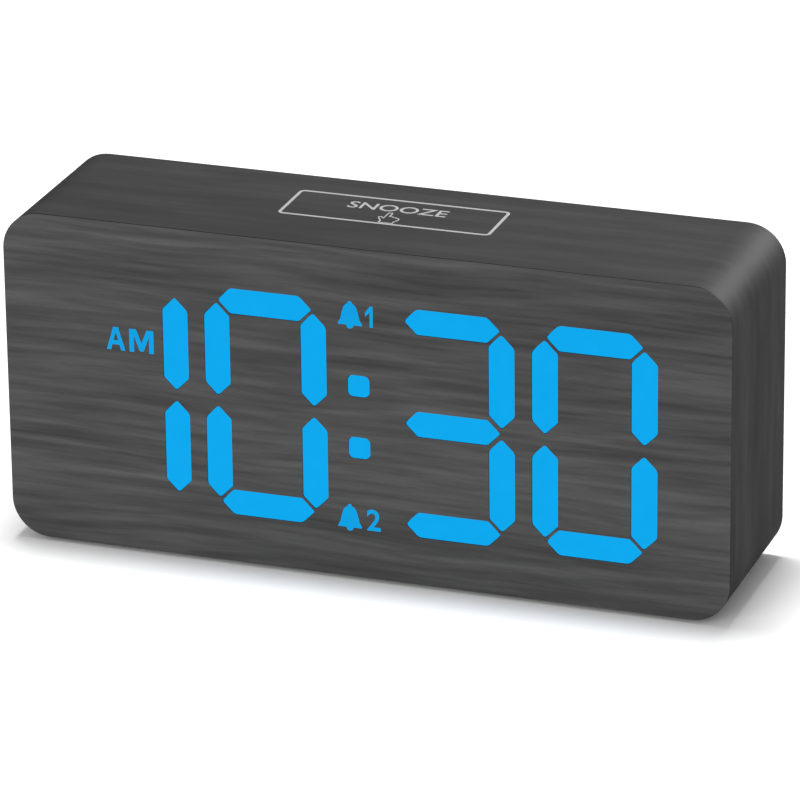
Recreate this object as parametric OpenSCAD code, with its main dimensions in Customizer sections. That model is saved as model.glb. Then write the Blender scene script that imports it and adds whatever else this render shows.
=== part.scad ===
// Wood-grain digital alarm clock: a fibreboard sleeve wrapped in film, a four-digit light display
// behind the front film, and a moulded back cover that carries the controls.
// Millimetres, +Z up, the face looks along -Y, and the feet stand on z = 0 under the middle of the case.

/* [Case] */
// Width of the case across the face
case_w = 152; // [148:1:190]
// Height of the case, without its feet
case_h = 70; // [68:1:95]
// Depth of the case from the face to the rear rim
case_d = 38; // [36:1:60]
// Radius of the four long edges
corner_r = 8; // [7:0.5:13]
// Wall of the fibreboard sleeve
sleeve_wall = 5; // [4:0.5:6]
// Thickness of the wood-grain film
film_t = 0.4; // [0.2:0.1:0.8]
// Thickness of the front board behind the film
front_t = 3; // [2.5:0.5:4]
// Height of the rubber feet
foot_h = 0.8; // [0.5:0.1:4]
// Radius of a rubber foot
foot_r = 5; // [3:0.5:6]
// Distance of each foot's centre from the case's ends
foot_end = 18; // [14:1:30]

/* [Digits] */
// Room between the digits and the ends of the case
digit_side = 14.3; // [13:0.1:24]
// Room between the digits and the top and bottom of the case
digit_rim = 10.8; // [10.4:0.1:20]
// Gap between two neighbouring digits
digit_gap = 3.7; // [2.5:0.1:6]
// Gap between the hour and minute digits, where the colon stands
colon_gap = 13.6; // [11:0.1:18]
// Width of one segment
segment_w = 5.2; // [4:0.1:6]
// Side of a colon dot
dot_w = 4.4; // [3:0.1:5]
// Height of each colon dot above or below the middle of the digits
dot_rise = 6.6; // [5:0.1:9]
// How far the display sits left of the middle of the face
display_left = 0.7; // [0:0.1:1]
// How far the display sits below the middle of the face
display_drop = 0.5; // [0:0.1:1]
// Depth of the reflector's light wells
well_d = 8; // [5:0.5:9]

/* [Back cover] */
// Thickness of the back cover
cover_t = 2; // [1.6:0.1:3]
// How far the cover sits inside the rear rim
cover_recess = 2.5; // [2.3:0.1:4]
// How far the cover's edge laps over the sleeve's shoulder
cover_lap = 1.6; // [1:0.1:2.4]
// Side of the corner posts that take the cover's screws
post_w = 10; // [8.5:0.5:11]
// Radius of the loudspeaker
speaker_r = 14; // [10:0.5:14.5]
// Width of a grille slot
slot_w = 1.8; // [1:0.1:2.2]
// Number of grille slots
slot_count = 7; // [3:2:7]

/* [Battery bay] */
// Diameter of a cell
cell_d = 10.5; // [9:0.1:10.8]
// Length of a cell over its button
cell_l = 44.5; // [40:0.1:45.5]
// Room for the springs and contact plates along the cells
contact_room = 6.5; // [5.5:0.1:7.5]
// Thickness of the battery door
door_t = 1.6; // [1.2:0.1:1.8]
// Radius of the door's hinge barrel
barrel_r = 1.2; // [1:0.1:1.3]

/* [Controls] */
// Radius of a button cap
key_r = 4; // [3:0.1:4.6]
// How far a button cap stands out of the cover
key_out = 1.6; // [1:0.1:1.9]
// Distance from the board's end screw to the first button
key_end = 10; // [8.5:0.1:14]
// Distance from the last button to the dimmer knob
knob_step = 22; // [15:0.5:24]
// Distance from the dimmer knob to the board's other end screw
knob_end = 12; // [9:0.1:16]
// How far a button travels when it is pressed
key_travel = 0.5; // [0.2:0.1:0.7]
// Radius of the dimmer knob
knob_r = 6.1; // [4.5:0.1:6.8]
// How far the dimmer knob stands out of the cover
knob_out = 2.2; // [1.5:0.1:2.3]
// Number of grip grooves round the dimmer knob
knob_grooves = 24; // [12:2:30]
// Radius of the power socket's bore
socket_r = 2.85; // [2.5:0.05:3]
// Radius of the power socket's centre pin
socket_pin_r = 1.05; // [0.8:0.05:1.3]

/* [Hidden] */
$fn = 64;

// How far a cut runs past the face that it opens
over = 1;

// Clearances between pieces
lens_fit = 0.1;
cover_fit = 0.2;
door_fit = 0.3;
key_fit = 0.2;
flange_fit = 0.1;
shaft_fit = 0.06;
screw_fit = 0.05;
hole_fit = 0.3;
cell_fit = 0.35;
door_seat_fit = 0.1;
cone_fit = 0.05;

// Case stations along Y and the inside of the sleeve
mid_z = foot_h + case_h / 2;
face_y = -case_d / 2;
film_y = face_y + film_t;
front_y = film_y + front_t;
rear_y = case_d / 2;
core_w = case_w - 2 * film_t;
core_h = case_h - 2 * film_t;
core_r = corner_r - film_t;
room_w = core_w - 2 * sleeve_wall;
room_h = core_h - 2 * sleeve_wall;
room_r = core_r - sleeve_wall;
cover_y = rear_y - cover_recess;
seat_y = cover_y - cover_t;
foot_edge = 0.2;

// Display: the digits fill the face inside their margins
display_x = -display_left;
display_z = -display_drop;
digit_h = case_h - 2 * digit_rim;
digit_w = (case_w - 2 * digit_side - 2 * digit_gap - colon_gap) / 4;
digit_pitch = digit_w + digit_gap;
colon_pitch = digit_w + colon_gap;
column_x = (digit_w - segment_w) / 2;
row_z = (digit_h - segment_w) / 2;
digit_x = [
    -colon_pitch / 2 - digit_pitch,
    -colon_pitch / 2,
    colon_pitch / 2,
    colon_pitch / 2 + digit_pitch
];
// The time that the display shows, as the lit segments of each digit
shown = ["bc", "abcdef", "abcdg", "abcdef"];
all_segments = ["a", "b", "c", "d", "e", "f", "g"];
bar_end_gap = 0.35;
column_end_gap = 0.75;
column_mid_gap = 1.2;
bar_l = 2 * column_x - 2 * bar_end_gap;
column_l = row_z - column_end_gap - column_mid_gap;
column_mid = (row_z - column_end_gap + column_mid_gap) / 2;
shoulder_r = 1.6;
inner_shoulder_r = 0.8;
tip_r = 0.5;
dot_corner_r = 1.1;
// Light windows behind the film for the morning and evening marks and the two alarm bells
mark_gap = 1.8;
mark_w = 2 * column_x - segment_w - 2 * mark_gap;
mark_h = 6;
bell_gap = 2.3;
bell_window_w = colon_gap - 2 * bell_gap;
bell_window_h = 7;
mark_rise = row_z / 2;
bell_lift = 0.3;
bell_rise = row_z + bell_lift;
lens_seat = 0.4;
reflector_margin_x = 4.5;
reflector_margin_z = 2.6;
reflector_w = colon_pitch + 2 * digit_pitch + digit_w + 2 * reflector_margin_x;
reflector_h = digit_h + 2 * reflector_margin_z;
reflector_y = front_y + well_d;
pcb_t = 1.6;
display_pcb_y = reflector_y + pcb_t;
led_l = 3.5;
led_w = 2.8;
led_t = 1.9;
led_tip = 2.6;
display_screw_r = 1;
display_screw_head_r = 1.9;
display_screw_head_t = 1.3;
display_screw_bite = 2;
display_screw_inset = 3;
display_screw_places = [
    for (sx = [-1, 1], sz = [-1, 1])
        [display_x + sx * (reflector_w / 2 - display_screw_inset),
         display_z + sz * (reflector_h / 2 - display_screw_inset)]
];

// Corner posts and cover screws
post_x = room_w / 2 - post_w / 2;
post_z = room_h / 2 - post_w / 2;
post_front_gap = 1;
post_chamfer = max(room_r, 0.5);
post_y = display_pcb_y + display_screw_head_t + post_front_gap;
screw_r = 1.25;
screw_l = 12;
screw_head_r = 2.6;
screw_head_t = 1.7;
screw_head_edge = 1;
screw_head_flat_r = 1.8;
screw_sink = 1.2;
pilot_spare = 1.5;
cross_l = 3;
cross_w = 0.7;
cross_d = 1;

// Back cover details
cover_edge = cover_lap - cover_fit;
rib_t = 1.2;
rib_h = 3;
rib_end_gap = 0.5;

// Battery bay
bay_ledge = 1;
tub_wall = 1.2;
bay_l = cell_l + contact_room;
cell_step = cell_d + 2 * cell_fit;
bay_h = 2 * cell_step + cell_fit;
door_l = bay_l + 2 * bay_ledge - 2 * door_fit;
opening_l = bay_l + 2 * bay_ledge;
opening_h = bay_h + 3 * bay_ledge;
tub_l = opening_l + 2 * tub_wall;
tub_h = opening_h + 2 * tub_wall;
bay_x = -(room_w / 2 - post_w - rib_end_gap - tub_l / 2);
bay_z = -room_h / 2 + rib_t + cover_fit + tub_h / 2;
pocket_y = cover_y - door_t - door_seat_fit;
bay_floor_y = pocket_y - cell_d - 2 * cell_fit;
cell_y = bay_floor_y + cell_fit + cell_d / 2;
opening_bottom = bay_z - opening_h / 2;
opening_top = bay_z + opening_h / 2;
hinge_y = cover_y - barrel_r;
hinge_z = opening_bottom + door_fit + barrel_r;
trough_r = barrel_r + door_fit;
hinge_pin_r = 0.8;
hinge_pin_l = 1;
hinge_bore_l = 1.1;
door_top = opening_top - door_fit;
nib_l = 10;
nib_out = 0.2;
notch_r = 5;
notch_deep = 1;
grip_l = 16;
grip_w = 1;
grip_d = 0.4;
grip_count = 3;
grip_pitch = 2.2;
button_r = 1.9;
button_h = 0.9;
cell_edge = 0.5;
plate_t = 0.4;
plate_side = 8.4;
tail_w = 2;
tail_out = 2;
tail_y = bay_floor_y - tub_wall - tail_out;
spring_wire_r = 0.3;
spring_r = 3.1;
spring_turns = 4;
spring_l = contact_room - 2 * plate_t;
spring_lead = 4 * spring_wire_r;
rings_per_turn = 8;
wire_sides = 6;

// Main board, switches and buttons
flange_t = 1;
flange_lap = 1;
flange_y = seat_y - flange_fit;
switch_side = 6;
switch_h = 3.5;
plunger_out = 1.5;
plunger_r = 1.75;
plunger_in = 1.5;
plunger_spare = 0.2;
switch_y = flange_y - flange_t - plunger_out;
board_y = switch_y - switch_h;
board_front_y = board_y - pcb_t;
board_side_gap = 2.6;
board_top_gap = 3;
board_tub_gap = 6.65;
board_w = room_w - 2 * post_w - 2 * board_side_gap;
board_top = room_h / 2 - board_top_gap;
board_bottom = bay_z + tub_h / 2 + board_tub_gap;
board_h = board_top - board_bottom;
board_z = (board_top + board_bottom) / 2;
boss_end = 4;
key_names = ["set", "alarm_one", "alarm_two", "up", "down"];
key_first_x = -board_w / 2 + boss_end + key_end;
knob_x = board_w / 2 - boss_end - knob_end;
key_pitch = (knob_x - knob_step - key_first_x) / (len(key_names) - 1);
cap_edge_r = 0.6;
cap_dish = 0.3;
cap_rim = 1.2;
function key_x(i) = key_first_x + i * key_pitch;
boss_r = 2.5;
boss_pilot_r = 0.95;
board_screw_r = 0.9;
board_screw_bite = 4;
board_screw_head_r = 1.8;
board_screw_head_t = 1.4;
boss_edge = 3;
boss_places = [
    [-board_w / 2 + boss_end, board_z],
    [board_w / 2 - boss_end, board_z],
    [key_x(0.5), board_bottom + boss_edge],
    [key_x(4.5), board_bottom + boss_edge]
];
chip_l = 18;
chip_w = 7.5;
chip_t = 2.3;
chip_x = key_x(1.5);
chip_leg = 1.4;
chip_legs = 9;
chip_leg_t = 0.3;

// Dimmer
pot_side = 11;
pot_h = 4.5;
pot_knob_gap = 0.4;
shaft_r = 2;
shaft_in = 3;
shaft_flat = 0.6;
knob_roof = 1.4;
knob_z = board_z;
pot_y = board_y + pot_h;
knob_y = pot_y + pot_knob_gap;
knob_end_y = cover_y + knob_out;
shaft_end_y = knob_end_y - knob_roof;
groove_r = 0.5;
pointer_w = 1;
pointer_d = 0.5;
pointer_start = 2;

// Loudspeaker in its ring
slot_spread = 0.15;
ring_t = 1.3;
ring_h = 4;
ring_gap = 1.5;
speaker_lip_t = 1.2;
speaker_basket_h = 4;
basket_reach = 5.3;
magnet_r = speaker_r - basket_reach;
magnet_h = 4;
cone_t = 0.4;
cone_depth = 1.8;
cone_seat_w = 1.2;
ring_r = speaker_r + cover_fit + ring_t;
cone_seat_r = speaker_r - speaker_lip_t;
speaker_x = room_w / 2 - post_w - ring_gap - ring_r;
speaker_z = -room_h / 2 + rib_t + cover_fit + ring_gap + ring_r;
slot_reach = speaker_r - slot_w;
slot_pitch = 2 * slot_reach / (slot_count + 1) + slot_spread;

// Power socket
flange_out_r = 5.5;
socket_lip_t = 1.2;
socket_body_r = 3.9;
socket_body_l = 12;
socket_depth = 10;
socket_pin_foot = 1.5;
socket_pin_foot_r = 1.6;
socket_pin_back = 0.8;
socket_pin_tip = 0.4;
nut_side = 11;
nut_t = 2.2;
socket_x = (bay_x + tub_l / 2 + speaker_x - ring_r) / 2;
socket_z = speaker_z;
socket_mouth_y = cover_y + socket_lip_t;

// Leads from the socket, the loudspeaker and the cells to the lower edge of the main board
lead_r = 0.5;
lead_room = tail_y - display_pcb_y;
lead_bend = lead_room / 4;
lead_step = 4;
lead_out = 4;
lead_edge = 1.6;
lead_end_z = board_bottom + lead_edge;
speaker_lead_rise = 5;
cell_lead_out = [lead_room / 3, lead_room * 2 / 3];
cell_lead_rise = [0, 2.4];

// Touch pad under the top wall
pad_w = 42;
pad_d = 13;
pad_t = 0.3;
pad_y = 3;
leaf_w = 4;
leaf_t = 0.3;
leaf_foot = 4;
leaf_reach = 3;

// Ribbon between the two boards, beside the socket's leads and above the board's lower screws
ribbon_gap = 2.8;
ribbon_w = 12;
ribbon_x = socket_x + lead_step / 2 + lead_r + ribbon_gap + ribbon_w / 2;
ribbon_t = 0.4;
header_w = 16;
header_h = 6;
header_d = 4;
header_gap = 1.2;
header_z = board_bottom + boss_edge + board_screw_head_r + header_gap + header_h / 2;
header_y = [display_pcb_y + header_d / 2, board_front_y - header_d / 2];
ribbon_drop = 5;

// Shapes that several pieces share

// A rectangle with true round corners, centred
module rounded_rect(w, h, r) {
    square([w - 2 * r, h], center = true);
    square([w, h - 2 * r], center = true);
    for (sx = [-1, 1], sy = [-1, 1])
        translate([sx * (w / 2 - r), sy * (h / 2 - r)]) circle(r);
}

// A flat outline on the face, x across and y up from the middle of the face, made solid from y0 to y1
module slab(y0, y1) {
    translate([0, y1, mid_z]) rotate([90, 0, 0]) linear_extrude(y1 - y0) children();
}

// A round rod along the depth of the clock
module rod(x, z, y0, y1, r) {
    translate([x, y0, mid_z + z]) rotate([-90, 0, 0]) cylinder(r = r, h = y1 - y0);
}

// A turned piece about a line along the depth: the profile is radius across, distance to the rear up
module turned(x, z, y0) {
    translate([x, y0, mid_z + z]) rotate([-90, 0, 0]) rotate_extrude() children();
}

// A cross recess for a screwdriver, cut d deep below the plane y
module cross_recess(x, z, y, d) {
    for (a = [0, 90])
        translate([x, y - d / 2, mid_z + z]) rotate([0, a, 0]) cube([cross_l, d, cross_w], center = true);
}

module at_posts() {
    for (sx = [-1, 1], sz = [-1, 1]) translate([sx * post_x, sz * post_z]) children();
}

module display_corners() {
    for (p = display_screw_places) translate(p) children();
}

// Points of an arc that rounds the corner b between a and c, or b itself where r is zero
function unit(v) = v / norm(v);
function rounded_corner(a, b, c, r, steps = 4) =
    r == 0 ? [b] :
    let (u = unit(a - b), w = unit(c - b), half = acos(u * w) / 2)
    let (back = r / tan(half), centre = b + unit(u + w) * r / sin(half))
    let (p = b + u * back - centre, q = b + w * back - centre)
    [for (i = [0:steps]) let (t = i / steps) centre + r * unit(p * (1 - t) + q * t)];
function rounded_outline(points, radii) =
    [for (i = [0:len(points) - 1])
        each rounded_corner(
            points[(i + len(points) - 1) % len(points)], points[i],
            points[(i + 1) % len(points)], radii[i])];

// Display outlines

// One bar of a digit, with blunt points at both ends and its outer shoulders rounded most
module bar(l, grow, shoulder) {
    tip = l / 2 + grow * sqrt(2);
    half = segment_w / 2 + grow;
    polygon(rounded_outline(
        [[-tip, 0], [half - tip, half], [tip - half, half],
         [tip, 0], [tip - half, -half], [half - tip, -half]],
        [tip_r, shoulder, shoulder, tip_r, inner_shoulder_r, inner_shoulder_r]));
}

module segment(name, grow = 0) {
    if (name == "a") translate([0, row_z]) bar(bar_l, grow, shoulder_r);
    if (name == "d") translate([0, -row_z]) mirror([0, 1]) bar(bar_l, grow, shoulder_r);
    if (name == "g") bar(bar_l, grow, inner_shoulder_r);
    for (side = [["b", 1, 1], ["c", 1, -1], ["e", -1, -1], ["f", -1, 1]])
        if (name == side[0])
            translate([side[1] * column_x, side[2] * column_mid])
                rotate(-90 * side[1]) bar(column_l, grow, shoulder_r);
}

function is_lit(i, name) = len(search(name, shown[i])) > 0;

// Each segment of the wanted state, in its place on the face
module each_segment(lit, grow) {
    for (i = [0:3], name = all_segments)
        if (is_lit(i, name) == lit)
            translate([display_x + digit_x[i], display_z]) segment(name, grow);
}

module colon_dots(grow) {
    for (s = [-1, 1])
        translate([display_x, display_z + s * dot_rise])
            rounded_rect(dot_w + 2 * grow, dot_w + 2 * grow, dot_corner_r + grow);
}

// Plain windows behind the marks: morning and evening beside the first digit, bells over and under the colon
module mark_windows(grow) {
    for (s = [-1, 1]) {
        translate([display_x + digit_x[0], display_z + s * mark_rise])
            square([mark_w + 2 * grow, mark_h + 2 * grow], center = true);
        translate([display_x, display_z + s * bell_rise])
            square([bell_window_w + 2 * grow, bell_window_h + 2 * grow], center = true);
    }
}

module lit_outlines(grow) {
    each_segment(true, grow);
    colon_dots(grow);
}

module dark_outlines(grow) {
    each_segment(false, grow);
    mark_windows(grow);
}

// Case

module case_sleeve() {
    color([0.55, 0.43, 0.3])
    difference() {
        slab(front_y, rear_y) rounded_rect(core_w, core_h, core_r);
        slab(front_y - over, rear_y + over) rounded_rect(room_w, room_h, room_r);
        slab(seat_y, rear_y + over)
            rounded_rect(room_w + 2 * cover_lap, room_h + 2 * cover_lap, room_r + cover_lap);
    }
}

module wrap_film() {
    color([0.29, 0.29, 0.29])
    difference() {
        slab(film_y, rear_y) rounded_rect(case_w, case_h, corner_r);
        slab(film_y - over, rear_y + over) rounded_rect(core_w, core_h, core_r);
    }
}

module front_film() {
    color([0.31, 0.31, 0.31])
    difference() {
        slab(face_y, film_y) rounded_rect(case_w, case_h, corner_r);
        slab(face_y - over, film_y + over) lit_outlines(lens_fit);
    }
}

module front_board() {
    color([0.55, 0.43, 0.3])
    difference() {
        slab(film_y, front_y) rounded_rect(core_w, core_h, core_r);
        slab(film_y - over, front_y + over) lit_outlines(lens_fit);
        slab(film_y - over, front_y + over) dark_outlines(lens_fit);
        slab(front_y - display_screw_bite - screw_fit, front_y + over)
            display_corners() circle(display_screw_r + screw_fit);
    }
}

// Glue blocks in the sleeve's corners, bored for the cover's screws
module corner_posts() {
    half = post_w / 2;
    color([0.78, 0.63, 0.42])
    difference() {
        slab(post_y, seat_y)
            for (sx = [-1, 1], sz = [-1, 1])
                translate([sx * post_x, sz * post_z]) scale([sx, sz])
                    polygon([[-half, -half], [half, -half], [half, half - post_chamfer],
                             [half - post_chamfer, half], [-half, half]]);
        slab(cover_y - screw_sink - screw_l - pilot_spare, seat_y + over)
            at_posts() circle(screw_r + screw_fit);
    }
}

module rubber_feet() {
    color([0.1, 0.1, 0.1])
    for (sx = [-1, 1], sy = [-1, 1])
        translate([sx * (case_w / 2 - foot_end), sy * (case_d / 2 - foot_r - corner_r / 2), 0])
            rotate_extrude()
                polygon([[0, 0], [foot_r - foot_edge, 0], [foot_r, foot_edge],
                         [foot_r, foot_h], [0, foot_h]]);
}

// Display module

module lit_lenses() {
    color([0.06, 0.67, 0.96]) slab(face_y, front_y) lit_outlines(0);
}

module dark_lenses() {
    color([0.85, 0.86, 0.84]) slab(film_y, front_y) dark_outlines(0);
}

module reflector_block() {
    color([0.92, 0.92, 0.9])
    difference() {
        slab(front_y, reflector_y)
            translate([display_x, display_z]) square([reflector_w, reflector_h], center = true);
        slab(front_y - over, reflector_y + over) {
            lit_outlines(-lens_seat);
            dark_outlines(-lens_seat);
        }
        slab(front_y - over, reflector_y + over)
            display_corners() circle(display_screw_r + hole_fit);
    }
}

module display_board() {
    color([0.1, 0.35, 0.2])
    difference() {
        slab(reflector_y, display_pcb_y)
            translate([display_x, display_z]) square([reflector_w, reflector_h], center = true);
        slab(reflector_y - over, display_pcb_y + over)
            display_corners() circle(display_screw_r + hole_fit);
    }
}

// Two chips in each long well and one behind each dot; the long side lies along the segment
module led_pair(name) {
    upright = name != "a" && name != "d" && name != "g";
    step = (upright ? column_l : bar_l) / 2 - led_tip - led_l / 2;
    x = upright ? (name == "b" || name == "c" ? column_x : -column_x) : 0;
    z = name == "a" ? row_z : name == "d" ? -row_z : name == "g" ? 0 :
        (name == "b" || name == "f" ? column_mid : -column_mid);
    for (s = [-1, 1])
        translate([x, z] + (upright ? [0, s * step] : [s * step, 0]))
            square(upright ? [led_w, led_l] : [led_l, led_w], center = true);
}

module display_leds() {
    color([0.95, 0.9, 0.6])
    slab(reflector_y - led_t, reflector_y) {
        for (i = [0:3], name = all_segments)
            translate([display_x + digit_x[i], display_z]) led_pair(name);
        for (s = [-1, 1]) {
            translate([display_x, display_z + s * dot_rise]) square([led_w, led_w], center = true);
            translate([display_x, display_z + s * bell_rise]) square([led_l, led_w], center = true);
            translate([display_x + digit_x[0], display_z + s * mark_rise])
                square([led_l, led_w], center = true);
        }
    }
}

module display_screws() {
    color([0.75, 0.75, 0.77])
    for (p = display_screw_places)
        difference() {
            union() {
                rod(p[0], p[1], front_y - display_screw_bite, display_pcb_y, display_screw_r);
                rod(p[0], p[1], display_pcb_y, display_pcb_y + display_screw_head_t, display_screw_head_r);
            }
            cross_recess(p[0], p[1], display_pcb_y + display_screw_head_t, cross_d);
        }
}

// Back cover

// Level slots that fill a circle, with round ends
module grille_slots() {
    middle = (slot_count - 1) / 2;
    for (i = [-middle:middle]) {
        half = sqrt(max(slot_reach * slot_reach - pow(i * slot_pitch, 2), slot_w));
        translate([speaker_x, speaker_z + i * slot_pitch]) {
            square([2 * half - slot_w, slot_w], center = true);
            for (s = [-1, 1]) translate([s * (half - slot_w / 2), 0]) circle(slot_w / 2);
        }
    }
}

// Locating rib that drops inside the sleeve, left out beside the corner posts
module locating_rib() {
    span_x = room_w - 2 * post_w - 2 * rib_end_gap;
    span_z = room_h - 2 * post_w - 2 * rib_end_gap;
    for (s = [-1, 1]) {
        translate([0, s * (room_h / 2 - cover_fit - rib_t / 2)]) square([span_x, rib_t], center = true);
        translate([s * (room_w / 2 - cover_fit - rib_t / 2), 0]) square([rib_t, span_z], center = true);
    }
}

module bay_outline(l, h) {
    translate([bay_x, bay_z]) square([l, h], center = true);
}

module cover_body() {
    slab(seat_y, cover_y)
        rounded_rect(room_w + 2 * cover_edge, room_h + 2 * cover_edge, room_r + cover_edge);
    slab(seat_y - rib_h, seat_y) locating_rib();
    slab(bay_floor_y - tub_wall, seat_y) bay_outline(tub_l, tub_h);
    slab(seat_y - ring_h, seat_y) translate([speaker_x, speaker_z]) circle(ring_r);
    for (p = boss_places) rod(p[0], p[1], board_y, seat_y, boss_r);
}

module back_cover() {
    color([0.09, 0.09, 0.09])
    difference() {
        cover_body();
        // Door pocket, hinge trough and the room for the cells
        slab(pocket_y, cover_y + over) bay_outline(opening_l, opening_h);
        slab(hinge_y - trough_r, cover_y + over)
            translate([bay_x, opening_bottom + trough_r]) square([opening_l, 2 * trough_r], center = true);
        slab(bay_floor_y, cover_y) bay_outline(bay_l, bay_h);
        slab(bay_floor_y - tub_wall - over, bay_floor_y + over)
            for (s = [-1, 1])
                translate([bay_x + bay_l / 2 - plate_t - cover_fit, cell_z(s) - tail_w / 2 - cover_fit])
                    square([plate_t + cover_fit, tail_w + 2 * cover_fit]);
        for (s = [0, 1])
            translate([bay_x, hinge_y, mid_z + hinge_z]) mirror([s, 0, 0])
                translate([opening_l / 2 - over, 0, 0]) rotate([0, 90, 0])
                    cylinder(r = hinge_pin_r + shaft_fit, h = hinge_bore_l + over);
        // Finger notch over the door
        slab(cover_y - notch_deep, cover_y + over) translate([bay_x, opening_top]) circle(notch_r);
        // Holes for the controls, socket, screws and sound
        for (i = [0:len(key_names) - 1])
            rod(key_x(i), board_z, seat_y - over, cover_y + over, key_r + key_fit);
        rod(knob_x, knob_z, seat_y - over, cover_y + over, knob_r + key_fit);
        rod(socket_x, socket_z, seat_y - over, cover_y + over, socket_body_r + screw_fit);
        slab(seat_y - over, cover_y + over) grille_slots();
        rod(speaker_x, speaker_z, seat_y - ring_h - over, seat_y, speaker_r + cover_fit);
        for (sx = [-1, 1], sz = [-1, 1]) {
            rod(sx * post_x, sz * post_z, seat_y - over, cover_y + over, screw_r + hole_fit);
            rod(sx * post_x, sz * post_z, cover_y - screw_sink, cover_y + over, screw_head_r + hole_fit);
        }
        for (p = boss_places)
            rod(p[0], p[1], board_y - over, board_y + board_screw_bite + pilot_spare, boss_pilot_r);
    }
}

module cover_screws() {
    head_y = cover_y - screw_sink;
    color([0.2, 0.2, 0.21])
    for (sx = [-1, 1], sz = [-1, 1])
        difference() {
            union() {
                rod(sx * post_x, sz * post_z, head_y - screw_l, head_y, screw_r);
                turned(sx * post_x, sz * post_z, head_y)
                    polygon([[0, 0], [screw_head_r, 0], [screw_head_r, screw_head_edge],
                             [screw_head_flat_r, screw_head_t], [0, screw_head_t]]);
            }
            cross_recess(sx * post_x, sz * post_z, head_y + screw_head_t, cross_d);
        }
}

// Flap on a moulded barrel, with a pin at each end and a catch on its upper edge
module battery_door() {
    color([0.1, 0.1, 0.1])
    difference() {
        union() {
            slab(cover_y - door_t, cover_y)
                translate([bay_x - door_l / 2, hinge_z]) square([door_l, door_top - hinge_z]);
            translate([bay_x - door_l / 2, hinge_y, mid_z + hinge_z]) rotate([0, 90, 0])
                cylinder(r = barrel_r, h = door_l);
            translate([bay_x - door_l / 2 - door_fit - hinge_pin_l, hinge_y, mid_z + hinge_z])
                rotate([0, 90, 0]) cylinder(r = hinge_pin_r, h = door_l + 2 * door_fit + 2 * hinge_pin_l);
            slab(cover_y - door_t, cover_y - door_t / 2)
                translate([bay_x, door_top]) square([nib_l, 2 * nib_out], center = true);
        }
        for (i = [0:grip_count - 1])
            slab(cover_y - grip_d, cover_y + over)
                translate([bay_x, door_top - grip_pitch * (i + 1)]) square([grip_l, grip_w], center = true);
    }
}

// Cells lie along X one above the other, turned end for end
function cell_z(s) = bay_z + s * cell_step / 2;
function cell_x(s) = bay_x + s * (spring_l - contact_room / 2 + plate_t);

module backup_cells() {
    can_l = cell_l - button_h;
    r = cell_d / 2;
    color([0.75, 0.6, 0.25])
    for (s = [-1, 1])
        translate([cell_x(s), cell_y, mid_z + cell_z(s)]) rotate([0, 90 * s, 0])
            translate([0, 0, -cell_l / 2]) rotate_extrude()
                polygon([[0, 0], [r - cell_edge, 0], [r, cell_edge], [r, can_l - cell_edge],
                         [r - cell_edge, can_l], [button_r, can_l], [button_r, cell_l], [0, cell_l]]);
}

// Coil spring: rings of points along a helix whose ends run straight into the plate and the cell
function helix_point(t) =
    let (lift = spring_l - 2 * spring_lead)
    [spring_r * cos(360 * t), spring_r * sin(360 * t), spring_lead + lift * t / spring_turns];
function helix_path() = concat(
    [[spring_r, 0, 0]],
    [for (i = [0:spring_turns * rings_per_turn]) helix_point(i / rings_per_turn)],
    [[spring_r, 0, spring_l]]);

// A round wire swept along a path; outs gives one direction square to the path at each point
function tube_ring(path, outs, r, i) =
    let (last = len(path) - 1)
    let (ahead = unit(path[min(i + 1, last)] - path[max(i - 1, 0)]))
    let (out = unit(outs[i] - (outs[i] * ahead) * ahead), side = cross(ahead, out))
    [for (k = [0:wire_sides - 1]) let (a = 360 * k / wire_sides)
        path[i] + r * (out * cos(a) + side * sin(a))];

module wire_tube(path, outs, r) {
    last = len(path) - 1;
    n = wire_sides;
    points = [for (i = [0:last]) each tube_ring(path, outs, r, i)];
    sides = [for (i = [0:last - 1], k = [0:n - 1]) each
        let (a = i * n + k, b = i * n + (k + 1) % n)
        [[a, a + n, b], [b, a + n, b + n]]];
    start_cap = [for (k = [1:n - 2]) [0, k, k + 1]];
    end_cap = [for (k = [1:n - 2]) [last * n, last * n + k + 1, last * n + k]];
    polyhedron(points, concat(sides, start_cap, end_cap));
}

// The least gap between neighbouring turns, measured on the helix's own points
spring_points = helix_path();
spring_gap = min([for (i = [1:len(spring_points) - 2 - rings_per_turn])
    norm(spring_points[i] - spring_points[i + rings_per_turn])]) - 2 * spring_wire_r;
echo(least_gap_between_spring_turns = spring_gap);

module battery_springs() {
    color([0.8, 0.8, 0.78])
    for (s = [-1, 1])
        translate([bay_x - s * (bay_l / 2 - plate_t), cell_y, mid_z + cell_z(s)])
            rotate([0, 90 * s, 0])
                wire_tube(spring_points, [for (p = spring_points) [p[0], p[1], 0]], spring_wire_r);
}

// Contact plates on the bay's end walls: one bridge across both cells, and two single plates
// whose tails pass through the bay's floor
module battery_plates() {
    color([0.8, 0.8, 0.78]) {
        translate([bay_x - bay_l / 2, cell_y - plate_side / 2, mid_z + cell_z(-1) - plate_side / 2])
            cube([plate_t, plate_side, cell_step + plate_side]);
        for (s = [-1, 1])
            translate([bay_x + bay_l / 2 - plate_t, cell_y - plate_side / 2, mid_z + cell_z(s)]) {
                translate([0, 0, -plate_side / 2]) cube([plate_t, plate_side, plate_side]);
                translate([0, tail_y - cell_y + plate_side / 2, -tail_w / 2])
                    cube([plate_t, cell_y - tail_y, tail_w]);
            }
    }
}

// Main board and controls

module main_board() {
    color([0.1, 0.35, 0.2])
    difference() {
        slab(board_front_y, board_y) translate([0, board_z]) square([board_w, board_h], center = true);
        for (p = boss_places)
            rod(p[0], p[1], board_front_y - over, board_y + over, board_screw_r + hole_fit);
    }
}

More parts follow.
